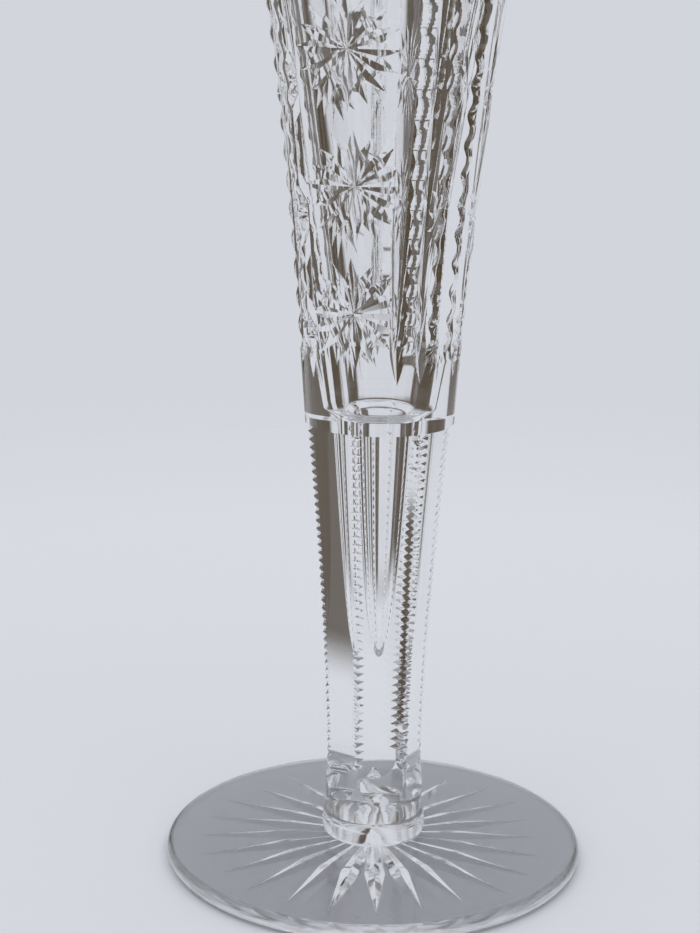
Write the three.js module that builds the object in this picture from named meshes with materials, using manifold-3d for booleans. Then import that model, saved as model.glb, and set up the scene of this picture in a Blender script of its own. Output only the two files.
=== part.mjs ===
// Cut glass trumpet vase: a round foot, a stem collar and a tall fluted and cut body.
// Millimetres, +Z up, origin on the floor under the middle of the foot.
// An azimuth of 0 degrees faces -Y, and grows towards +X.
import * as THREE from "three";
import { ConvexGeometry } from "three/addons/geometries/ConvexGeometry.js";
import { mergeVertices } from "three/addons/utils/BufferGeometryUtils.js";
import Module from "manifold-3d";

const wasm = await Module();
wasm.setup();

// Whole vase
const vaseHeight = 356;
const mouthDiameter = 112;
const rimWall = 5.5;
const rimEdgeRound = 1.6;

// Foot
const footDiameter = 127;
const footEdgeThickness = 5;
const footCrownThickness = 7;
const footEdgeRound = 2;

// Star of rays cut under the foot
const footRayCount = 24;
const footRayAzimuth = 1.5;
const footRayInnerRadius = 2;
const footRayInnerDepth = 0;
const footRayRestWidth = 10.5;
const footRayWaistShare = 0.5;
const footRayWidth = 6.2;
const footRayDepth = 2.4;

// Collar between the foot and the stem
const collarHeight = 7;
const collarDiameter = 31.5;
const collarSeatDiameter = 30;
const collarWaistShare = 0.5;

// Stem with six long flutes
const stemFootDiameter = 28.8;
const stemFootSwell = 0.3;
const stemHeight = 122;
const stemCornerRadiusLow = 14.3;
const stemCornerRadiusHigh = 21.4;
const stemCurve = 1.7;
const stemStock = 0.4;
const fluteCount = 6;
const fluteAzimuth = 10.5;
const fluteFootMargin = 6;
const fluteRunOut = 11;
const ledgeHeight = 0.9;

// Bowl outline from the ledge to the mouth
const bowlFootDiameter = 44;
const bowlSpread = 0.42;
const bowlSwell = 0.36;
const bowlLipPower = 6;

// Hollow of the vase
const bowlFootWall = 12;
const wallThinningPower = 2;
const hollowShoulderRise = 2;
const hollowShoulderHeight = 3;
const stemHollowDiameter = 16.4;
const hollowTipHeight = 64.6;
const hollowTipPower = 0.45;

// Long mitre cuts in three groups, and the notches on the ridges between them
const panelCount = 3;
const mitreGroupAzimuth = 38;
const mitresInGroup = 4;
const mitreSpacing = 17.5;
const mitreFootMargin = 15;
const mitreRimMargin = 14;
const mitreWidthLow = 5;
const mitreWidthHigh = 6.6;
const mitreRunOut = 14;
const ridgeNotchPitch = 8.25;
const ridgeNotchRadius = 10;
const ridgeNotchDepth = 0.85;
const ridgeNotchMargin = 5;
const ridgeNotchWidthShare = 0.8;

// Columns of stars on the plain panels
const starColumnAzimuth = -18.5;
const starsInColumn = 5;
const firstStarRise = 35.3;
const starPitch = 36.4;
const backStarDrop = 10.5;
const starRadius = 16;
const starRayCount = 16;
const starRayPass = 0.3;
const starHubDepth = 0.3;
const starRayWaistShare = 0.6;
const starRayWidth = 4;
const starRayDepth = 1.4;

// Scalloped rim
const rimScallopCount = 6;
const rimScallopDepth = 3;
const rimLandWidth = 4;

// Fineness of the round shapes
const footSegments = 48;
const bodySegments = 21;
const hollowSegments = 20;
const bowlRings = 6;
const bowlRingCrowding = 1.5;
const stemRings = 5;
const hollowStemRings = 6;
const mitreRings = 3;
const mitreEndRings = 2;
const ridgeNotchSides = 12;
const scallopSides = 96;
const roundSteps = 3;
const overshoot = 3;
const slopeStep = 0.1;
const rayCutterRise = 2;
const rayEndLift = 0.05;
const mergeTolerance = 1e-5;

// Heights and radii that follow from the sizes above
const collarZ = footCrownThickness;
const stemZ = collarZ + collarHeight;
const ledgeZ = stemZ + stemHeight;
const rimEdgeZ = vaseHeight - rimEdgeRound;
const bowlHeight = rimEdgeZ - ledgeZ;
const fluteHalfAngle = Math.PI / fluteCount;
const fluteFootZ = stemZ + fluteFootMargin;
const fluteFullZ = fluteFootZ + fluteRunOut;
const fluteTopZ = ledgeZ - ledgeHeight;
const hollowShoulderZ = ledgeZ + hollowShoulderRise;

// Outer radius of the bowl at a height, before any cutting
function bowlRadius(z) {
  const t = (z - ledgeZ) / bowlHeight;
  const lipShare = 1 - bowlSpread - bowlSwell;
  const share = bowlSpread * t + bowlSwell * t * t + lipShare * t ** bowlLipPower;
  return bowlFootDiameter / 2 + (mouthDiameter - bowlFootDiameter) / 2 * share;
}

// Distance from the axis to the edges between the stem's flutes
function stemCornerRadius(z) {
  const t = Math.max(0, (z - stemZ) / stemHeight);
  return stemCornerRadiusLow + (stemCornerRadiusHigh - stemCornerRadiusLow) * t ** stemCurve;
}

// Radius of the hollow at a height in the bowl, above its shoulder
function bowlHollowRadius(z) {
  const t = (z - ledgeZ) / bowlHeight;
  const extraWall = (bowlFootWall - rimWall) * Math.max(0, 1 - t) ** wallThinningPower;
  return bowlRadius(z) - rimWall - extraWall;
}

// Radius of the hollow at a height in the stem, where it closes to a round tip
function stemHollowRadius(z) {
  const t = (z - hollowTipHeight) / (hollowShoulderZ - hollowTipHeight);
  return stemHollowDiameter / 2 * t ** hollowTipPower;
}

function radians(degrees) {
  return THREE.MathUtils.degToRad(degrees);
}

// Evenly spaced numbers from one end to the other, both ends included
function spaced(from, to, steps) {
  return Array.from({ length: steps + 1 }, (unused, i) => from + (to - from) * i / steps);
}

// Heights from the ledge up, closer together where the lip flares
function bowlHeights(to) {
  return spaced(0, 1, bowlRings).map((u) => (
    ledgeZ + (to - ledgeZ) * (1 - (1 - u) ** bowlRingCrowding)
  ));
}

// A point at an azimuth, a distance from the axis and a height
function polar(azimuth, radius, z) {
  const a = radians(azimuth);
  return new THREE.Vector3(radius * Math.sin(a), -radius * Math.cos(a), z);
}

// Turn a shape made on the +X side so that it stands at an azimuth
function turnTo(geometry, azimuth) {
  return geometry.rotateZ(radians(azimuth - 90));
}

// Points of a quarter round from one angle to another, in the profile's plane
function roundCorner(centreR, centreZ, radius, fromAngle, toAngle) {
  return spaced(fromAngle, toAngle, roundSteps).map((angle) => new THREE.Vector2(
    centreR + radius * Math.cos(radians(angle)),
    centreZ + radius * Math.sin(radians(angle)),
  ));
}

// Turn a profile of radius and height into a closed shape about the Z axis
function lathe(profile, segments) {
  return new THREE.LatheGeometry(profile, segments).rotateX(Math.PI / 2);
}

// Merge shared vertices and drop the empty triangles at the poles
function weld(geometry) {
  geometry.deleteAttribute("normal");
  geometry.deleteAttribute("uv");
  const merged = mergeVertices(geometry, mergeTolerance);
  const corners = merged.index.array;
  const kept = [];
  for (let i = 0; i < corners.length; i += 3) {
    const [a, b, c] = [corners[i], corners[i + 1], corners[i + 2]];
    if (a !== b && b !== c && c !== a) {
      kept.push(a, b, c);
    }
  }
  merged.setIndex(kept);
  return merged;
}

function solid(geometry) {
  const welded = weld(geometry);
  return new wasm.Manifold(new wasm.Mesh({
    numProp: 3,
    vertProperties: new Float32Array(welded.attributes.position.array),
    triVerts: new Uint32Array(welded.index.array),
  }));
}

function joined(solids) {
  return solids.reduce((all, one) => all.add(one));
}

function geometryOf(manifold) {
  const mesh = manifold.getMesh();
  const geometry = new THREE.BufferGeometry();
  geometry.setAttribute("position", new THREE.BufferAttribute(mesh.vertProperties, 3));
  geometry.setIndex(new THREE.BufferAttribute(mesh.triVerts, 1));
  geometry.computeVertexNormals();
  return geometry;
}

// One kite shaped ray with a V section: narrow at the star's middle, widest at its waist.
// The surface function gives the point at a distance along the ray, across it and into the glass.
function rayCutter(surface, inner, innerDepth, outer, waist, width, depth) {
  const lift = rayCutterRise * depth;
  const spread = width / 2 * (depth + lift) / depth;
  return solid(new ConvexGeometry([
    surface(inner, 0, innerDepth),
    surface(inner, 0, -lift),
    surface(outer, 0, -rayEndLift),
    surface(waist, 0, depth),
    surface(waist, spread, -lift),
    surface(waist, -spread, -lift),
  ]));
}

// Foot: a flat disc with a round edge, a top that rises to the collar, and rays cut underneath
function footGeometry() {
  const edgeR = footDiameter / 2 - footEdgeRound;
  const profile = [
    new THREE.Vector2(0, 0),
    ...roundCorner(edgeR, footEdgeRound, footEdgeRound, -90, 0),
    ...roundCorner(edgeR, footEdgeThickness - footEdgeRound, footEdgeRound, 0, 90),
    new THREE.Vector2(collarDiameter / 2, footCrownThickness),
    new THREE.Vector2(0, footCrownThickness),
  ];
  const disc = solid(lathe(profile, footSegments));
  const tipR = footDiameter / 2 - footRayRestWidth;
  const waistR = footRayInnerRadius + (tipR - footRayInnerRadius) * footRayWaistShare;
  const rays = [];
  for (let i = 0; i < footRayCount; i += 1) {
    const azimuth = footRayAzimuth + 360 / footRayCount * i;
    const across = polar(azimuth + 90, 1, 0);
    const underside = (along, aside, into) => (
      polar(azimuth, along, into).addScaledVector(across, aside)
    );
    rays.push(rayCutter(
      underside,
      footRayInnerRadius,
      footRayInnerDepth,
      tipR,
      waistR,
      footRayWidth,
      footRayDepth,
    ));
  }
  return geometryOf(disc.subtract(joined(rays)));
}

// Collar: a round bulge that sits on the foot and carries the stem
function collarGeometry() {
  const seatR = collarSeatDiameter / 2;
  const bulgeR = collarDiameter / 2;
  const neckR = stemFootDiameter / 2;
  const waistZ = collarZ + collarHeight * collarWaistShare;
  const angles = spaced(0, Math.PI / 2, roundSteps);
  const lower = angles.map((angle) => new THREE.Vector2(
    seatR + (bulgeR - seatR) * Math.sin(angle),
    waistZ - (waistZ - collarZ) * Math.cos(angle),
  ));
  const upper = angles.slice(1).map((angle) => new THREE.Vector2(
    neckR + (bulgeR - neckR) * Math.cos(angle),
    waistZ + (stemZ - waistZ) * Math.sin(angle),
  ));
  const middle = [new THREE.Vector2(0, collarZ), new THREE.Vector2(0, stemZ)];
  return weld(lathe([middle[0], ...lower, ...upper, middle[1]], footSegments));
}

// Blown and ground blank of the body, before the flutes and the cutting
function bodyBlank() {
  const neckR = stemFootDiameter / 2;
  const swellR = neckR + stemFootSwell;
  const stem = spaced(fluteFullZ, ledgeZ, stemRings).map((z) => (
    new THREE.Vector2(Math.max(swellR, stemCornerRadius(z) + stemStock), z)
  ));
  const bowl = bowlHeights(rimEdgeZ).map((z) => new THREE.Vector2(bowlRadius(z), z));
  const profile = [
    new THREE.Vector2(0, stemZ),
    new THREE.Vector2(neckR, stemZ),
    new THREE.Vector2(swellR, fluteFootZ - fluteFootMargin / 2),
    ...stem,
    ...bowl,
    new THREE.Vector2(mouthDiameter / 2 - rimEdgeRound, vaseHeight),
    new THREE.Vector2(0, vaseHeight),
  ];
  const firstMitre = mitreGroupAzimuth - mitreSpacing * (mitresInGroup - 1) / 2;
  return solid(lathe(profile, bodySegments).rotateZ(radians(firstMitre)));
}

// The hollow, which runs out through the mouth
function hollowCutter() {
  const stem = spaced(0, 1, hollowStemRings).map((t) => {
    const z = hollowTipHeight + (hollowShoulderZ - hollowTipHeight) * t * t;
    return new THREE.Vector2(stemHollowRadius(z), z);
  });
  const heights = [hollowShoulderZ + hollowShoulderHeight, ...bowlHeights(vaseHeight).slice(1)];
  const bowl = heights.map((z) => new THREE.Vector2(bowlHollowRadius(z), z));
  const aboveZ = vaseHeight + overshoot;
  const profile = [
    ...stem,
    ...bowl,
    new THREE.Vector2(bowlHollowRadius(aboveZ), aboveZ),
    new THREE.Vector2(0, aboveZ),
  ];
  return solid(lathe(profile, hollowSegments));
}

// One flute: a flat side cut up the stem, which runs out in a curve at the foot and ends at the ledge
function fluteCutter(azimuth) {
  const flat = (z) => stemCornerRadius(z) * Math.cos(fluteHalfAngle);
  const outside = bowlFootDiameter;
  const footR = stemFootDiameter / 2 + stemFootSwell;
  const startDepth = footR - flat(fluteFullZ);
  const runOut = spaced(0, 1, roundSteps + 1).slice(0, -1).map((t) => new THREE.Vector2(
    flat(fluteFullZ) + startDepth * (1 - t) ** 2,
    fluteFootZ + (fluteFullZ - fluteFootZ) * t,
  ));
  const side = spaced(fluteFullZ, fluteTopZ, stemRings).map((z) => new THREE.Vector2(flat(z), z));
  const ledgeR = bowlFootDiameter / 2;
  const outline = [
    new THREE.Vector2(outside, fluteFootZ - fluteFootMargin / 2),
    new THREE.Vector2(footR + stemFootSwell, fluteFootZ - fluteFootMargin / 2),
    ...runOut,
    ...side,
    new THREE.Vector2(ledgeR, ledgeZ),
    new THREE.Vector2(outside, ledgeZ + (outside - ledgeR) * ledgeHeight / ledgeR),
  ];
  const width = 2 * outside * Math.tan(fluteHalfAngle);
  const shape = new THREE.ExtrudeGeometry(new THREE.Shape(outline), {
    depth: width,
    bevelEnabled: false,
  });
  shape.translate(0, 0, -width / 2).rotateX(Math.PI / 2);
  return solid(turnTo(shape, azimuth));
}

// One long mitre: a V groove up the bowl that runs out in a point at both ends
function mitreCutter(azimuth) {
  const from = ledgeZ + mitreFootMargin;
  const to = vaseHeight - mitreRimMargin;
  const heights = [
    ...spaced(from, from + mitreRunOut, mitreEndRings),
    ...spaced(from + mitreRunOut, to - mitreRunOut, mitreRings).slice(1, -1),
    ...spaced(to - mitreRunOut, to, mitreEndRings),
  ];
  const sections = heights.map((z) => {
    const t = (z - from) / (to - from);
    const width = mitreWidthLow + (mitreWidthHigh - mitreWidthLow) * t;
    const end = Math.min(1, (z - from) / mitreRunOut, (to - z) / mitreRunOut);
    const floorR = bowlRadius(z) - width / 2 * (1 - (1 - end) ** 2);
    return [
      new THREE.Vector3(floorR, 0, z),
      new THREE.Vector3(floorR + width, width, z),
      new THREE.Vector3(floorR + width, -width, z),
    ];
  });
  return joined(sections.slice(1).map((section, i) => (
    solid(turnTo(new ConvexGeometry([...sections[i], ...section]), azimuth))
  )));
}

// Round hollows one above another along one ridge between two mitres
function ridgeNotchCutters(azimuth) {
  const from = ledgeZ + mitreFootMargin + ridgeNotchMargin + ridgeNotchPitch / 2;
  const to = vaseHeight - mitreRimMargin;
  const count = Math.floor((to - from) / ridgeNotchPitch);
  return spaced(0, count, count).map((i) => {
    const z = from + i * ridgeNotchPitch;
    const ridge = bowlRadius(z) * radians(mitreSpacing);
    const slope = Math.atan((bowlRadius(z + slopeStep) - bowlRadius(z)) / slopeStep);
    const bar = new THREE.CylinderGeometry(
      ridgeNotchRadius,
      ridgeNotchRadius,
      ridge * ridgeNotchWidthShare,
      ridgeNotchSides,
    );
    bar.translate(ridgeNotchRadius - ridgeNotchDepth, 0, 0).rotateY(slope);
    bar.translate(bowlRadius(z), 0, z);
    return solid(turnTo(bar, azimuth));
  });
}

// One star of rays on the bowl
function starCutters(azimuth, z) {
  const arc = THREE.MathUtils.radToDeg(1 / bowlRadius(z));
  const waist = starRadius * starRayWaistShare;
  const rays = [];
  for (let i = 0; i < starRayCount; i += 1) {
    const angle = 2 * Math.PI * i / starRayCount;
    const onBowl = (along, aside, into) => {
      const x = along * Math.cos(angle) - aside * Math.sin(angle);
      const y = along * Math.sin(angle) + aside * Math.cos(angle);
      return polar(azimuth + arc * x, bowlRadius(z + y) - into, z + y);
    };
    rays.push(rayCutter(
      onBowl,
      -starRayPass,
      starHubDepth,
      starRadius,
      waist,
      starRayWidth,
      starRayDepth,
    ));
  }
  return rays;
}

// Shallow scallops round the mouth
function rimCutters() {
  const mouthR = mouthDiameter / 2;
  const span = 360 / rimScallopCount;
  const half = mouthR * Math.sin(radians(span / 2)) - rimLandWidth / 2;
  const scallopR = (half ** 2 + rimScallopDepth ** 2) / (2 * rimScallopDepth);
  const cutters = [];
  for (let i = 0; i < rimScallopCount; i += 1) {
    const azimuth = mitreGroupAzimuth + span * (i + 0.5);
    const drum = new THREE.CylinderGeometry(scallopR, scallopR, mouthR, scallopSides);
    drum.rotateZ(Math.PI / 2);
    drum.translate(mouthR, 0, vaseHeight - rimScallopDepth + scallopR);
    const slab = new THREE.BoxGeometry(2 * mouthR, 2 * half, 2 * rimScallopDepth);
    slab.translate(mouthR, 0, vaseHeight);
    cutters.push(solid(turnTo(drum, azimuth)).intersect(solid(turnTo(slab, azimuth))));
  }
  return cutters;
}

// Body: trumpet bowl and stem in one piece of glass
function bodyGeometry() {
  const blank = bodyBlank();
  const flutes = [];
  for (let i = 0; i < fluteCount; i += 1) {
    flutes.push(fluteCutter(fluteAzimuth + 360 / fluteCount * i));
  }
  const mitres = [];
  const ridges = [];
  const stars = [];
  for (let i = 0; i < panelCount; i += 1) {
    const turn = 360 / panelCount * i;
    for (let j = 0; j < mitresInGroup; j += 1) {
      const offset = (j - (mitresInGroup - 1) / 2) * mitreSpacing;
      mitres.push(mitreCutter(mitreGroupAzimuth + turn + offset));
      if (j > 0) {
        ridges.push(...ridgeNotchCutters(mitreGroupAzimuth + turn + offset - mitreSpacing / 2));
      }
    }
    const lowestStarZ = ledgeZ + firstStarRise - (i > 0 ? backStarDrop : 0);
    for (let j = 0; j < starsInColumn; j += 1) {
      stars.push(...starCutters(starColumnAzimuth + turn, lowestStarZ + starPitch * j));
    }
  }
  return geometryOf([
    hollowCutter(),
    joined(flutes),
    joined(mitres),
    joined(ridges),
    joined(stars),
    joined(rimCutters()),
  ].reduce((body, cutter) => body.subtract(cutter), blank));
}

function clearGlass() {
  return new THREE.MeshStandardMaterial({
    color: 0xdfe3e4,
    roughness: 0.05,
    metalness: 0,
    transparent: true,
    opacity: 0.4,
  });
}

function piece(name, geometry) {
  const mesh = new THREE.Mesh(geometry, clearGlass());
  mesh.name = name;
  return mesh;
}

const vase = new THREE.Group();
vase.add(piece("foot", footGeometry()));
vase.add(piece("stem_collar", collarGeometry()));
vase.add(piece("trumpet_body", bodyGeometry()));

export default vase;
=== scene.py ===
# Looks of the cut glass trumpet vase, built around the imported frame.
# Shapes are made in millimetres and brought to metres when they are finished.
# An azimuth of 0 degrees faces -Y, and grows towards +X.
import bpy
import bmesh
import math
import random
from mathutils import Matrix, Vector


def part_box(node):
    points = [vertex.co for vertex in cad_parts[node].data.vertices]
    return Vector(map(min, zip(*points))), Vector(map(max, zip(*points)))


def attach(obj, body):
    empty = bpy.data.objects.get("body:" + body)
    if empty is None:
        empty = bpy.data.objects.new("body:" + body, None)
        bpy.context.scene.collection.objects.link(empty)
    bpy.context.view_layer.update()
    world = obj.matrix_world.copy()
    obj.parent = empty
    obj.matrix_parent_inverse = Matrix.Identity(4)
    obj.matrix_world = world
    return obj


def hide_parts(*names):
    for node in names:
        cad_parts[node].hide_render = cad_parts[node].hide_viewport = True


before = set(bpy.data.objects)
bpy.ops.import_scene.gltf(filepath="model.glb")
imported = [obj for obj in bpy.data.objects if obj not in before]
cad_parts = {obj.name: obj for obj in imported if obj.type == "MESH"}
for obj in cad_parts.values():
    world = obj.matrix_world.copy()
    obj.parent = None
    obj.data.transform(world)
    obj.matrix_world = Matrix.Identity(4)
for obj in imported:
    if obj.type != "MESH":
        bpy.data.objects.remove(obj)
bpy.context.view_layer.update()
mm = 0.001
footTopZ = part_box("foot")[1].z / mm
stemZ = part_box("trumpet_body")[0].z / mm
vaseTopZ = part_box("trumpet_body")[1].z / mm
print("frame loaded")

roundSides = 240      # sides of every turned shape, the same on all pieces so that their joins meet
sharpAngle = 20       # degrees between faces from which an edge stays crisp
joinMargin = 0.01     # how near a face lies to a join to be part of it
levelFace = 0.99      # a normal's share along Z from which a face counts as level
toolMargin = 2        # how far the stem's cutting shape runs past what it cuts
aboveRim = 4          # how far the hollow's cutting shape runs out of the mouth


def spaced(start, end, steps):
    return [start + (end - start) * i / steps for i in range(steps + 1)]


def polar(azimuth, radius, z):
    a = math.radians(azimuth)
    return Vector((radius * math.sin(a), -radius * math.cos(a), z))


def quarterRound(centre, radius, fromAngle, toAngle, steps=8):
    angles = spaced(math.radians(fromAngle), math.radians(toAngle), steps)
    return [(centre[0] + radius * math.cos(a), centre[1] + radius * math.sin(a)) for a in angles]


def onlyVerts(geom):
    return [g for g in geom if isinstance(g, bmesh.types.BMVert)]


def asObject(name, bm):
    bmesh.ops.recalc_face_normals(bm, faces=bm.faces)
    mesh = bpy.data.meshes.new(name)
    bm.to_mesh(mesh)
    bm.free()
    made = bpy.data.objects.new(name, mesh)
    bpy.context.scene.collection.objects.link(made)
    return made


def turned(name, outline, sides=roundSides, azimuth=0, ring=False):
    bm = bmesh.new()
    verts = [bm.verts.new(polar(azimuth, r, z)) for r, z in outline]
    edges = [bm.edges.new(pair) for pair in zip(verts, verts[1:])]
    if ring:
        edges.append(bm.edges.new((verts[-1], verts[0])))
    bmesh.ops.spin(bm, geom=verts + edges, cent=(0, 0, 0), axis=(0, 0, 1),
                   angle=2 * math.pi, steps=sides, use_merge=True)
    bmesh.ops.remove_doubles(bm, verts=bm.verts, dist=0.0001)
    return asObject(name, bm)


def cut(piece, tool, operation="DIFFERENCE"):
    modifier = piece.modifiers.new("cut", "BOOLEAN")
    modifier.solver = "MANIFOLD"
    modifier.operation = operation
    modifier.object = tool
    depsgraph = bpy.context.evaluated_depsgraph_get()
    mesh = bpy.data.meshes.new_from_object(piece.evaluated_get(depsgraph))
    piece.modifiers.clear()
    piece.data = mesh
    bpy.data.objects.remove(tool)
    print(piece.name, operation.lower(), len(mesh.polygons), "faces")


def addShell(bm, columns, rows, place):
    # a closed slab: its under side is the cut, its upper side stays clear of the glass
    under = bmesh.ops.create_grid(bm, x_segments=columns, y_segments=rows, size=1)["verts"]
    faces = list({f for v in under for f in v.link_faces})
    upper = onlyVerts(bmesh.ops.extrude_face_region(bm, geom=faces)["geom"])
    for v in upper:
        v.co = place(v.co.x, (v.co.y + 1) / 2, True)
    for v in under:
        v.co = place(v.co.x, (v.co.y + 1) / 2, False)


def addStar(bm, rays, waist, depth, width, hub, clearance, place):
    # rays lists each ray's length and share of the depth
    # the V sides of two rays meet in a crest between them
    count = len(rays)
    half = math.pi / count
    slope = 2 * depth / width
    star = bmesh.new()
    disc = bmesh.ops.create_circle(star, cap_ends=True, cap_tris=True,
                                   segments=2 * count, radius=waist)["verts"]
    middle = min(disc, key=lambda v: v.co.length)
    inner = [v for v in disc if v is not middle]
    ring = {e for v in inner for e in v.link_edges if middle not in e.verts}
    outer = onlyVerts(bmesh.ops.extrude_edge_only(star, edges=list(ring))["geom"])
    ring = {e for v in outer for e in v.link_edges if all(w in outer for w in e.verts)}
    upper = onlyVerts(bmesh.ops.extrude_edge_only(star, edges=list(ring))["geom"])
    ring = {e for v in upper for e in v.link_edges if all(w in upper for w in e.verts)}
    lid = bmesh.ops.contextual_create(star, geom=list(ring))["faces"]
    crown = bmesh.ops.poke(star, faces=lid)["verts"]

    def shape(v, level):
        k = round(math.atan2(v.co.x, v.co.y) / half) % (2 * count)
        one, other = rays[k // 2], rays[(k + 1) // 2 % count]
        length, share = (one[0] + other[0]) / 2, (one[1] + other[1]) / 2
        reach = (waist if level == 0 else length) / math.cos(half * (k % 2))
        out = slope * reach * math.sin(half * (k % 2)) - (depth * share if level == 0 else 0)
        v.co = Vector((reach * math.sin(k * half), reach * math.cos(k * half),
                       clearance if level == 2 else out))

    for level, verts in enumerate((inner, outer, upper)):
        for v in verts:
            shape(v, level)
    middle.co = Vector((0, 0, -hub))
    crown[0].co = Vector((0, 0, clearance))
    bmesh.ops.subdivide_edges(star, edges=star.edges, cuts=3, use_grid_fill=True)
    for v in star.verts:
        v.co = place(*v.co)
    mesh = bpy.data.meshes.new("star")
    star.to_mesh(mesh)
    star.free()
    bm.from_mesh(mesh)
    bpy.data.meshes.remove(mesh)


# Foot: a disc with a rounded edge, and a star of rays cut underneath

footSizes = {
    "diameter": 127,
    "edgeThickness": 5,
    "edgeRound": 2.3,
    "crownDiameter": 31.5,
    "seatDiameter": 30,
    "rayCount": 24,
    "rayAzimuth": 1.5,
    "rayTip": 53,
    "rayTipSpread": 2.5,
    "rayWaist": 27,
    "rayWidth": 6.6,
    "rayDepth": 2.6,
    "rayShare": (0.92, 1.04),
    "rayClearance": 6,
    "hubDepth": 0.6,
    "seed": 4,
    "restRings": (30, 59.7, 60.7),
    "slopeRings": (0.01, 0.04, 0.3, 0.6, 0.9, 0.98, 1),
}


def makeFoot(s):
    edgeR = s["diameter"] / 2 - s["edgeRound"]
    crownR = s["crownDiameter"] / 2
    upperZ = s["edgeThickness"] - s["edgeRound"]
    # the rings keep the shading of the flat rest and of the slope from bending near their edges
    outline = [(0, 0)] + [(r, 0) for r in s["restRings"]]
    outline += quarterRound((edgeR, s["edgeRound"]), s["edgeRound"], -90, 0)
    outline += quarterRound((edgeR, upperZ), s["edgeRound"], 0, 90)
    for share in s["slopeRings"]:
        outline.append((edgeR + (crownR - edgeR) * share,
                        s["edgeThickness"] + (footTopZ - s["edgeThickness"]) * share))
    outline += [(s["seatDiameter"] / 2, footTopZ), (0, footTopZ)]
    disc = turned("foot_glass", outline)
    hand = random.Random(s["seed"])
    rays = [(s["rayTip"] + hand.uniform(-1, 1) * s["rayTipSpread"], hand.uniform(*s["rayShare"]))
            for i in range(s["rayCount"])]

    def place(x, y, out):
        return polar(s["rayAzimuth"] + math.degrees(math.atan2(x, y)), math.hypot(x, y), -out)

    bm = bmesh.new()
    addStar(bm, rays, s["rayWaist"], s["rayDepth"], s["rayWidth"], s["hubDepth"],
            s["rayClearance"], place)
    cut(disc, asObject("foot_rays", bm))
    return disc


# Collar: a soft bulge between the foot and the stem

collarSizes = {
    "diameter": 31.5,
    "seatDiameter": 30,
    "neckDiameter": 28.8,
    "waistShare": 0.5,
}


def makeCollar(s):
    seatR, bulgeR, neckR = s["seatDiameter"] / 2, s["diameter"] / 2, s["neckDiameter"] / 2
    waistZ = footTopZ + (stemZ - footTopZ) * s["waistShare"]
    angles = spaced(0, math.pi / 2, 9)
    outline = [(0, footTopZ)]
    outline += [(seatR + (bulgeR - seatR) * math.sin(a), waistZ - (waistZ - footTopZ) * math.cos(a))
                for a in angles]
    outline += [(neckR + (bulgeR - neckR) * math.cos(a), waistZ + (stemZ - waistZ) * math.sin(a))
                for a in angles[1:]]
    return turned("collar_glass", outline + [(0, stemZ)])


# Body: stem and bowl in one gather, cut all over

stemSizes = {
    "neckDiameter": 28.8,
    "footSwell": 0.3,
    "swellShare": 0.6,
    "height": 122,
    "cornerLow": 14.3,
    "cornerHigh": 21.4,
    "curve": 1.7,
    "stock": 0.4,
    "fluteAzimuth": 10.5,
    "fluteMargin": 6,
    "fluteRunOut": 11,
    "fluteLead": 0.15,
    "bowlOverlap": 1,
    "ledgeHeight": 0.9,
    "ledgeRadius": 18.2,
    "notchPitch": 2.5,
    "notchDepth": 1.0,
    "notchLand": 0.25,
    "notchReach": 3.2,
    "notchClearance": 3,
}
bowlSizes = {
    "footDiameter": 44,
    "mouthDiameter": 112,
    "spread": 0.42,
    "swell": 0.36,
    "lipPower": 6,
    "rimRound": 1.6,
    "rimWall": 5.5,
    "footWall": 12,
    "wallPower": 2,
    "shoulderRise": 2,
    "shoulderHeight": 3,
    "stemHollowDiameter": 16.4,
    "hollowTip": 64.6,
    "hollowPower": 0.45,
}
ledgeZ = stemZ + stemSizes["height"]
rimEdgeZ = vaseTopZ - bowlSizes["rimRound"]


def bowlRadius(z, s=bowlSizes):
    t = (z - ledgeZ) / (rimEdgeZ - ledgeZ)
    lip = 1 - s["spread"] - s["swell"]
    share = s["spread"] * t + s["swell"] * t * t + lip * t ** s["lipPower"]
    return s["footDiameter"] / 2 + (s["mouthDiameter"] - s["footDiameter"]) / 2 * share


def stemCorner(z, s=stemSizes):
    t = max(0, (z - stemZ) / s["height"])
    return s["cornerLow"] + (s["cornerHigh"] - s["cornerLow"]) * t ** s["curve"]


def hollowRadius(z, s=bowlSizes):
    # the bowl's hollow and the stem's narrower one, with a soft shoulder between them
    shoulderZ = ledgeZ + s["shoulderRise"]
    t = min(1, max(0, z - ledgeZ) / (rimEdgeZ - ledgeZ))
    wall = s["rimWall"] + (s["footWall"] - s["rimWall"]) * (1 - t) ** s["wallPower"]
    inBowl = bowlRadius(max(z, ledgeZ)) - wall
    t = min(1, max(0, z - s["hollowTip"]) / (shoulderZ - s["hollowTip"]))
    inStem = s["stemHollowDiameter"] / 2 * t ** s["hollowPower"]
    t = min(1, max(0, z - shoulderZ) / s["shoulderHeight"])
    return inStem + (inBowl - inStem) * t * t * (3 - 2 * t)


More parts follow.
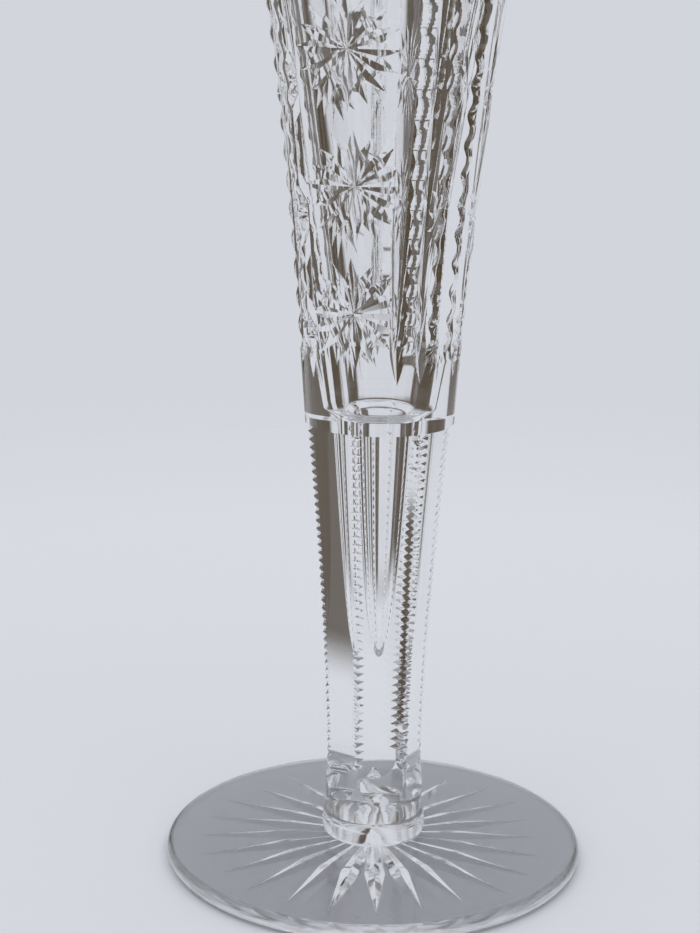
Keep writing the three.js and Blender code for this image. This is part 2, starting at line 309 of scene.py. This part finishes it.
def makeStem(s):
    neckR = s["neckDiameter"] / 2
    swellR = neckR + s["footSwell"]
    fluteFootZ = stemZ + s["fluteMargin"]
    fullZ = fluteFootZ + s["fluteRunOut"]
    topZ = ledgeZ + s["bowlOverlap"]
    upright = math.cos(math.pi / 6)
    outline = [(0, stemZ), (neckR, stemZ)]
    outline += [(neckR + s["footSwell"] * math.sin(u * math.pi / 2),
                 stemZ + (fluteFootZ - stemZ) * s["swellShare"] * u)
                for u in spaced(0, 1, 5)[1:]]
    outline += [(max(swellR, stemCorner(z) + s["stock"]), z) for z in spaced(fluteFootZ, topZ, 40)]
    blank = turned("stem_glass", outline + [(0, topZ)])
    startR = swellR - stemCorner(fullZ) * upright
    lowZ, highZ = stemZ - toolMargin, topZ + toolMargin
    sides = [(0, lowZ), (2 * neckR, lowZ), (2 * neckR, fluteFootZ - toolMargin)]
    sides += [(stemCorner(fullZ) + startR * (1 - t) ** 2 / upright,
               fluteFootZ + (fullZ - fluteFootZ) * t)
              for t in spaced(-s["fluteLead"], 1, 14)[:-1]]
    sides += [(stemCorner(z), z) for z in spaced(fullZ, highZ, 34)]
    flutes = turned("flutes", sides + [(0, highZ)], sides=6, azimuth=s["fluteAzimuth"] + 30)
    cut(blank, flutes, "INTERSECT")
    return blank


def makeBowlBlank(s):
    ledgeFootZ = ledgeZ - stemSizes["ledgeHeight"]
    outline = [(0, ledgeFootZ), (stemSizes["ledgeRadius"], ledgeFootZ)]
    outline += [(bowlRadius(z), z) for z in spaced(ledgeZ, rimEdgeZ, 110)]
    edgeR = s["mouthDiameter"] / 2 - s["rimRound"]
    outline += quarterRound((edgeR, rimEdgeZ), s["rimRound"], 0, 90)
    return turned("trumpet_body_glass", outline + [(0, vaseTopZ)])


def hollowTool(s):
    tipZ, lowZ = s["hollowTip"], ledgeZ + s["shoulderRise"]
    highZ = lowZ + s["shoulderHeight"]
    heights = [tipZ + (lowZ - tipZ) * t * t for t in spaced(0, 1, 26)]
    heights += spaced(lowZ, highZ, 10)[1:-1] + spaced(highZ, vaseTopZ + aboveRim, 90)
    outline = [(hollowRadius(z), z) for z in heights]
    return turned("hollow", outline + [(0, vaseTopZ + aboveRim)])


def onBowl(azimuth, x, z, out):
    return polar(azimuth + math.degrees(x / bowlRadius(z)), bowlRadius(z) + out, z)


mitreSizes = {
    "groupAzimuth": 38,
    "perGroup": 4,
    "spacing": 17.5,
    "footMargin": 15,
    "rimMargin": 14,
    "widthLow": 5,
    "widthHigh": 6.6,
    "runOut": 14,
    "lift": 0.4,
    "clearance": 2.5,
}
halfGroup = (mitreSizes["perGroup"] - 1) / 2
mitreAzimuths = [mitreSizes["groupAzimuth"] + 120 * i + mitreSizes["spacing"] * (j - halfGroup)
                 for i in range(3) for j in range(mitreSizes["perGroup"])]


def mitreTool(s):
    low, high = ledgeZ + s["footMargin"], vaseTopZ - s["rimMargin"]
    bm = bmesh.new()
    for azimuth in mitreAzimuths:
        def place(x, t, lid, azimuth=azimuth):
            z = low + (high - low) * t
            end = min(1, (z - low) / s["runOut"], (high - z) / s["runOut"])
            width = s["widthLow"] + (s["widthHigh"] - s["widthLow"]) * t
            depth = width / 2 * (1 - (1 - end) ** 2)
            out = s["clearance"] if lid else (-depth if abs(x) < 0.5 else s["lift"])
            return onBowl(azimuth, x * (depth + s["lift"]), z, out)
        addShell(bm, 2, 96, place)
    return asObject("mitres", bm)


ridgeSizes = {
    "pitch": 8.25,
    "depth": 0.85,
    "lift": 0.05,
    "margin": 5,
    "widthShare": 0.42,
    "clearance": 3,
}


def ridgeTool(s):
    low = ledgeZ + mitreSizes["footMargin"] + s["margin"]
    count = int((vaseTopZ - mitreSizes["rimMargin"] - low) / s["pitch"])
    bm = bmesh.new()
    for azimuth in mitreAzimuths:
        if azimuth in mitreAzimuths[3::4]:
            continue
        ridgeAzimuth = azimuth + mitreSizes["spacing"] / 2
        across = polar(ridgeAzimuth + 90, 1, 0)

        def place(x, t, lid, ridgeAzimuth=ridgeAzimuth, across=across):
            z = low + count * s["pitch"] * t
            wave = (1 - math.cos(2 * math.pi * t * count)) / 2
            out = s["clearance"] if lid else s["lift"] - (s["depth"] + s["lift"]) * wave
            reach = s["widthShare"] * math.radians(mitreSizes["spacing"]) * bowlRadius(z)
            return polar(ridgeAzimuth, bowlRadius(z) + out, z) + across * x * reach
        addShell(bm, 1, 10 * count, place)
    return asObject("ridge_notches", bm)


starSizes = {
    "azimuth": -18.5,
    "count": 5,
    "firstRise": 35.3,
    "pitch": 36.4,
    "rayCount": 16,
    "radius": 15.8,
    "radiusSpread": 1.6,
    "waistShare": 0.6,
    "width": 4.1,
    "depth": 1.5,
    "rayShare": (0.9, 1.05),
    "hubDepth": 0.2,
    "clearance": 3,
    "azimuthSpread": 2,
    "heightSpread": 1.2,
    "turnSpread": 3,
    "backDrop": 10.5,
    "seed": 8231,
}


def starTool(s):
    # cut by hand, so no star is quite in line; the two columns behind sit lower
    hand = random.Random(s["seed"])
    bm = bmesh.new()
    for i in range(3):
        for j in range(s["count"]):
            azimuth = s["azimuth"] + 120 * i + hand.uniform(-1, 1) * s["azimuthSpread"]
            z0 = ledgeZ + s["firstRise"] + s["pitch"] * j + hand.uniform(-1, 1) * s["heightSpread"]
            z0 -= s["backDrop"] if i else 0
            turn = hand.uniform(-1, 1) * s["turnSpread"]
            rays = [(s["radius"] + hand.uniform(-1, 1) * s["radiusSpread"],
                     hand.uniform(*s["rayShare"])) for k in range(s["rayCount"])]

            def place(x, y, out, azimuth=azimuth, z0=z0, turn=math.radians(turn)):
                up = y * math.cos(turn) - x * math.sin(turn)
                aside = x * math.cos(turn) + y * math.sin(turn)
                return polar(azimuth + math.degrees(aside / bowlRadius(z0)),
                             bowlRadius(z0 + up) + out, z0 + up)
            addStar(bm, rays, s["radius"] * s["waistShare"], s["depth"], s["width"], s["hubDepth"],
                    s["clearance"], place)
    return asObject("stars", bm)


def edgeNotchTool(s):
    fullZ = stemZ + s["fluteMargin"] + s["fluteRunOut"]
    count = int((ledgeZ - s["ledgeHeight"] + s["bowlOverlap"] - fullZ) / s["notchPitch"])
    bm = bmesh.new()
    for k in range(6):
        azimuth = s["fluteAzimuth"] + 30 + 60 * k
        across = polar(azimuth + 90, 1, 0)

        def place(x, t, lid, azimuth=azimuth, across=across):
            z = fullZ + count * s["notchPitch"] * t
            valley = round(t * 2 * count) % 2
            out = s["notchClearance"] if lid else (-s["notchDepth"] if valley else s["notchLand"])
            return polar(azimuth, stemCorner(z) + out, z) + across * x * s["notchReach"]
        addShell(bm, 1, 2 * count, place)
    return asObject("edge_notches", bm)


rimSizes = {
    "scallops": 6,
    "scallopDepth": 3,
    "landWidth": 4,
    "teeth": 120,
    "toothSteps": 6,
    "toothDepth": 1.2,
    "ringShares": (0.6, 1.3),
    "ringLevels": (1, 8),
}


def rimTool(s):
    # a ring over the rim, whose under side has the scallops and the fine teeth between them
    mouthR = bowlSizes["mouthDiameter"] / 2
    span = 360 / s["scallops"]
    reach = mouthR * math.sin(math.radians(span / 2)) - s["landWidth"] / 2
    scallopR = (reach ** 2 + s["scallopDepth"] ** 2) / (2 * s["scallopDepth"])
    innerR, outerR = (mouthR * share for share in s["ringShares"])
    lowZ, highZ = (vaseTopZ + level for level in s["ringLevels"])
    outline = [(innerR, lowZ), (outerR, lowZ), (outerR, highZ), (innerR, highZ)]
    ring = turned("rim_cut", outline, sides=s["toothSteps"] * s["teeth"], ring=True)
    for v in ring.data.vertices:
        if v.co.z < (lowZ + highZ) / 2:
            azimuth = math.degrees(math.atan2(v.co.x, -v.co.y))
            fromMiddle = (azimuth - mitreSizes["groupAzimuth"]) % span - span / 2
            x = mouthR * math.sin(math.radians(fromMiddle))
            scallop = scallopR - math.sqrt(scallopR ** 2 - min(abs(x), reach) ** 2)
            tooth = abs((azimuth * s["teeth"] / 360) % 1 - 0.5) * 2
            v.co.z = vaseTopZ - s["scallopDepth"] + scallop - s["toothDepth"] * tooth
    return ring


def makeBody():
    body = makeBowlBlank(bowlSizes)
    cut(body, makeStem(stemSizes), "UNION")
    cut(body, hollowTool(bowlSizes))
    cut(body, mitreTool(mitreSizes))
    cut(body, ridgeTool(ridgeSizes))
    cut(body, starTool(starSizes))
    cut(body, edgeNotchTool(stemSizes))
    cut(body, rimTool(rimSizes))
    return body


# Glass: clear, polished by hand, with fine waves from the wheel and a few dull touches

bodyGlass = {
    "name": "body_glass",
    "wave": (70, 0.25),
    "grain": (900, 0.03),
    "streaks": (260, 6, 0.05),
    "bump": 0.08,
    "polish": (0.0, 0.025),
}
collarGlass = {
    "name": "collar_glass",
    "wave": (60, 0.4),
    "grain": (900, 0.05),
    "streaks": (8, 200, 0.15),
    "bump": 0.12,
    "polish": (0.0, 0.04),
}
footGlass = {
    "name": "foot_glass",
    "wave": (45, 0.5),
    "grain": (700, 0.06),
    "streaks": (120, 120, 0.1),
    "bump": 0.14,
    "polish": (0.01, 0.07),
    "wear": (0.0004, 0.0001),
    "wornRoughness": 0.12,
}
glassIor = 1.53
waveHeight = 0.0004
dullFrom = 0.52
dullTo = 0.8


def fill(tree, slot, value):
    # a number is written on the socket, and anything else is linked to it
    if isinstance(value, (int, float)):
        slot.default_value = value
    else:
        tree.links.new(value, slot)


def mathNode(tree, operation, *values):
    node = tree.nodes.new("ShaderNodeMath")
    node.operation = operation
    for slot, value in zip(node.inputs, values):
        fill(tree, slot, value)
    return node.outputs[0]


def smoothRamp(tree, value, start, end):
    node = tree.nodes.new("ShaderNodeMapRange")
    node.interpolation_type = "SMOOTHSTEP"
    for name, source in (("Value", value), ("From Min", start), ("From Max", end)):
        fill(tree, node.inputs[name], source)
    return node.outputs["Result"]


def polishGroup():
    # waves, grain and wheel streaks give a height
    # soft clouds give where the polish is a little dull
    group = bpy.data.node_groups.new("hand_polish", "ShaderNodeTree")
    for name in ("Wave Scale", "Wave", "Grain Scale", "Grain", "Streaks Around", "Streaks Along",
                 "Streaks", "Dull From", "Dull To"):
        group.interface.new_socket(name, in_out="INPUT", socket_type="NodeSocketFloat")
    for name in ("Height", "Dull"):
        group.interface.new_socket(name, in_out="OUTPUT", socket_type="NodeSocketFloat")
    start = group.nodes.new("NodeGroupInput").outputs
    end = group.nodes.new("NodeGroupOutput").inputs
    place = group.nodes.new("ShaderNodeTexCoord").outputs["Object"]

    def noise(vector, scale, detail):
        node = group.nodes.new("ShaderNodeTexNoise")
        node.inputs["Detail"].default_value = detail
        group.links.new(vector, node.inputs["Vector"])
        if scale is not None:
            group.links.new(scale, node.inputs["Scale"])
        return node.outputs["Fac"]

    stretched = group.nodes.new("ShaderNodeVectorMath")
    stretched.operation = "MULTIPLY"
    stretch = group.nodes.new("ShaderNodeCombineXYZ")
    for axis, name in (("X", "Streaks Around"), ("Y", "Streaks Around"), ("Z", "Streaks Along")):
        group.links.new(start[name], stretch.inputs[axis])
    group.links.new(place, stretched.inputs[0])
    group.links.new(stretch.outputs[0], stretched.inputs[1])
    waves = mathNode(group, "MULTIPLY", noise(place, start["Wave Scale"], 1), start["Wave"])
    grain = mathNode(group, "MULTIPLY", noise(place, start["Grain Scale"], 3), start["Grain"])
    streaks = mathNode(group, "MULTIPLY", noise(stretched.outputs[0], None, 2), start["Streaks"])
    height = mathNode(group, "ADD", waves, mathNode(group, "ADD", grain, streaks))
    clouds = noise(place, start["Wave Scale"], 4)
    group.links.new(height, end["Height"])
    group.links.new(smoothRamp(group, clouds, start["Dull From"], start["Dull To"]), end["Dull"])
    return group


def makeGlass(s, polish):
    material = bpy.data.materials.new(s["name"])
    material.use_nodes = True
    tree = material.node_tree
    shader = tree.nodes["Principled BSDF"]
    shader.inputs["Base Color"].default_value = (1, 1, 1, 1)
    shader.inputs["Transmission Weight"].default_value = 1
    shader.inputs["IOR"].default_value = glassIor
    work = tree.nodes.new("ShaderNodeGroup")
    work.node_tree = polish
    values = s["wave"] + s["grain"] + s["streaks"] + (dullFrom, dullTo)
    for slot, value in zip(work.inputs, values):
        slot.default_value = value
    bump = tree.nodes.new("ShaderNodeBump")
    bump.inputs["Strength"].default_value = s["bump"]
    bump.inputs["Distance"].default_value = waveHeight
    tree.links.new(work.outputs["Height"], bump.inputs["Height"])
    tree.links.new(bump.outputs["Normal"], shader.inputs["Normal"])
    dull = tree.nodes.new("ShaderNodeMapRange")
    dull.inputs["To Min"].default_value, dull.inputs["To Max"].default_value = s["polish"]
    tree.links.new(work.outputs["Dull"], dull.inputs["Value"])
    rough = dull.outputs["Result"]
    if "wear" in s:
        # the rest underneath is scratched where it has stood on tables
        place = tree.nodes.new("ShaderNodeTexCoord")
        apart = tree.nodes.new("ShaderNodeSeparateXYZ")
        tree.links.new(place.outputs["Object"], apart.inputs[0])
        worn = tree.nodes.new("ShaderNodeMix")
        worn.inputs["B"].default_value = s["wornRoughness"]
        tree.links.new(smoothRamp(tree, apart.outputs["Z"], *s["wear"]), worn.inputs["Factor"])
        tree.links.new(rough, worn.inputs["A"])
        rough = worn.outputs["Result"]
    tree.links.new(rough, shader.inputs["Roughness"])
    return material


def makeJoin():
    # the fused joins between the gathers can't be seen in the real glass
    material = bpy.data.materials.new("fused_join")
    material.use_nodes = True
    shader = material.node_tree.nodes["Principled BSDF"]
    shader.inputs["Alpha"].default_value = 0
    return material


def finishPiece(piece, node, glass, join, seats):
    # seats lists the height and diameter of each flat join with the next piece
    mesh = piece.data
    mesh.materials.clear()
    mesh.materials.append(glass)
    mesh.materials.append(join)
    for face in mesh.polygons:
        fromAxis = math.hypot(face.center.x, face.center.y)
        onSeat = any(abs(face.center.z - z) < joinMargin and fromAxis < d / 2 + joinMargin
                     for z, d in seats)
        face.material_index = 1 if onSeat and abs(face.normal.z) > levelFace else 0
    mesh.shade_smooth()
    mesh.set_sharp_from_angle(angle=math.radians(sharpAngle))
    mesh.transform(Matrix.Scale(mm, 4))
    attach(piece, "root")
    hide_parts(node)
    print(piece.name, len(mesh.polygons), "faces")


polish = polishGroup()
join = makeJoin()
footSeat = (footTopZ, collarSizes["seatDiameter"])
stemSeat = (stemZ, collarSizes["neckDiameter"])
finishPiece(makeFoot(footSizes), "foot", makeGlass(footGlass, polish), join, [footSeat])
finishPiece(makeCollar(collarSizes), "stem_collar", makeGlass(collarGlass, polish), join,
            [footSeat, stemSeat])
finishPiece(makeBody(), "trumpet_body", makeGlass(bodyGlass, polish), join, [stemSeat])


# Stage: pale floor, pale surroundings and soft light

floorLook = {
    "color": (0.67, 0.68, 0.70, 1),
    "roughness": 0.7,
    "specular": 0.2,
    "radius": 0.75,
    "fade": (0.36, 0.735),
    "fadeInGlass": (0.18, 0.28),
    "gap": 0.0003,
}


def makeFloor(s):
    # a round pale floor that fades into the pale surroundings, sooner where seen through glass
    bm = bmesh.new()
    bmesh.ops.create_circle(bm, cap_ends=True, segments=96, radius=s["radius"])
    bmesh.ops.translate(bm, verts=bm.verts, vec=(0, 0, -s["gap"]))
    floor = asObject("floor", bm)
    material = bpy.data.materials.new("pale_floor")
    material.use_nodes = True
    tree = material.node_tree
    shader = tree.nodes["Principled BSDF"]
    shader.inputs["Base Color"].default_value = s["color"]
    shader.inputs["Roughness"].default_value = s["roughness"]
    shader.inputs["Specular IOR Level"].default_value = s["specular"]
    place = tree.nodes.new("ShaderNodeTexCoord")
    length = tree.nodes.new("ShaderNodeVectorMath")
    length.operation = "LENGTH"
    tree.links.new(place.outputs["Object"], length.inputs[0])
    path = tree.nodes.new("ShaderNodeLightPath")
    fade = tree.nodes.new("ShaderNodeMix")
    tree.links.new(path.outputs["Is Transmission Ray"], fade.inputs["Factor"])
    for slot, reach in (("A", s["fade"]), ("B", s["fadeInGlass"])):
        tree.links.new(smoothRamp(tree, length.outputs["Value"], *reach), fade.inputs[slot])
    clear = tree.nodes.new("ShaderNodeBsdfTransparent")
    mix = tree.nodes.new("ShaderNodeMixShader")
    tree.links.new(fade.outputs["Result"], mix.inputs["Fac"])
    tree.links.new(shader.outputs["BSDF"], mix.inputs[1])
    tree.links.new(clear.outputs["BSDF"], mix.inputs[2])
    tree.links.new(mix.outputs["Shader"], tree.nodes["Material Output"].inputs["Surface"])
    floor.data.materials.append(material)


makeFloor(floorLook)

studio = {
    "pale": (0.645, 0.665, 0.715, 1),
    "dim": (0.075, 0.055, 0.033, 1),
    "dimGap": (-0.24, -0.9),
    "dimTable": 0.44,
    "edge": 0.05,
    "dimWalls": ((28, 118), (-34, -14)),
    "wallEdge": 3,
    "table": (-0.4, -0.3),
    "roof": (0.35, 0.45),
}


def makeWorld(s):
    # as the cut glass sees them: pale walls with a few dim gaps, a dim wall at the right and
    # a narrow one behind at the left, and a table that is dim in front and behind
    # the camera itself sees pale only
    # azimuths run from +Y towards +X here
    # the wave is 1 in front and behind, and -1 at the sides
    world = bpy.data.worlds.new("studio")
    bpy.context.scene.world = world
    world.use_nodes = True
    tree = world.node_tree
    background = tree.nodes["Background"]
    ray = tree.nodes.new("ShaderNodeTexCoord")
    parts = tree.nodes.new("ShaderNodeSeparateXYZ")
    tree.links.new(ray.outputs["Generated"], parts.inputs[0])

    def rising(value, start, end):
        return smoothRamp(tree, value, start, end)

    def falling(value, start, end):
        return mathNode(tree, "SUBTRACT", 1, smoothRamp(tree, value, start, end))

    def both(a, b):
        return mathNode(tree, "MULTIPLY", a, b)

    def around(value):
        return value - s["edge"], value + s["edge"]

    azimuth = mathNode(tree, "ARCTAN2", parts.outputs["X"], parts.outputs["Y"])
    wave = mathNode(tree, "COSINE", both(azimuth, 2))
    near, far = s["dimGap"]
    walls = mathNode(tree, "ADD", rising(wave, *around(near)), falling(wave, *around(far)))
    edge = math.radians(s["wallEdge"])
    for side in s["dimWalls"]:
        start, end = (math.radians(a) for a in side)
        dimWall = both(rising(azimuth, start, start + edge), falling(azimuth, end - edge, end))
        walls = both(walls, mathNode(tree, "SUBTRACT", 1, dimWall))
    walls = mathNode(tree, "MAXIMUM", walls, rising(parts.outputs["Z"], *s["roof"]))
    table = both(rising(wave, *around(s["dimTable"])), falling(parts.outputs["Z"], *s["table"]))
    seen = both(walls, mathNode(tree, "SUBTRACT", 1, table))
    path = tree.nodes.new("ShaderNodeLightPath")
    mask = mathNode(tree, "MAXIMUM", seen, path.outputs["Is Camera Ray"])
    mix = tree.nodes.new("ShaderNodeMix")
    mix.data_type = "RGBA"
    tree.links.new(mask, mix.inputs["Factor"])
    mix.inputs["A"].default_value = s["dim"]
    mix.inputs["B"].default_value = s["pale"]
    tree.links.new(mix.outputs["Result"], background.inputs["Color"])


makeWorld(studio)

softboxSizes = {
    "place": (0, 0, 1.6),
    "size": 2.4,
    "power": 19.9,
}


def makeSoftbox(s):
    light = bpy.data.lights.new("softbox", "AREA")
    light.size = s["size"]
    light.energy = s["power"]
    lamp = bpy.data.objects.new("softbox", light)
    bpy.context.scene.collection.objects.link(lamp)
    lamp.matrix_world = Matrix.Translation(s["place"])
    # seen through cut glass its square would only show as white specks
    lamp.visible_transmission = False
    lamp.visible_glossy = False


makeSoftbox(softboxSizes)


# Camera, at the photograph's viewing angle

cameraPlace = {
    "position": (0, -0.5740, 0.2654),
    "yaw": -0.85,
    "down": 14.046,
    "roll": 0.724,
    "focalPixels": 2000,
    "imageHeight": 933,
}


def makeCamera(s):
    data = bpy.data.cameras.new("camera")
    data.sensor_fit = "VERTICAL"
    data.sensor_height = 36
    data.lens = s["focalPixels"] * data.sensor_height / s["imageHeight"]
    camera = bpy.data.objects.new("camera", data)
    bpy.context.scene.collection.objects.link(camera)
    yaw, down, roll = (math.radians(s[k]) for k in ("yaw", "down", "roll"))
    ahead = Vector((math.sin(yaw) * math.cos(down), math.cos(yaw) * math.cos(down),
                    -math.sin(down)))
    right = Vector((math.cos(yaw), -math.sin(yaw), 0))
    up = right.cross(ahead)
    turnedRight = right * math.cos(roll) + up * math.sin(roll)
    turnedUp = up * math.cos(roll) - right * math.sin(roll)
    camera.matrix_world = Matrix((
        (turnedRight.x, turnedUp.x, -ahead.x, s["position"][0]),
        (turnedRight.y, turnedUp.y, -ahead.y, s["position"][1]),
        (turnedRight.z, turnedUp.z, -ahead.z, s["position"][2]),
        (0, 0, 0, 1),
    ))
    return camera


scene = bpy.context.scene
scene.camera = makeCamera(cameraPlace)
scene.view_settings.view_transform = "Standard"
scene.cycles.max_bounces = 32
scene.cycles.transmission_bounces = 32
scene.cycles.glossy_bounces = 16
scene.cycles.transparent_max_bounces = 32
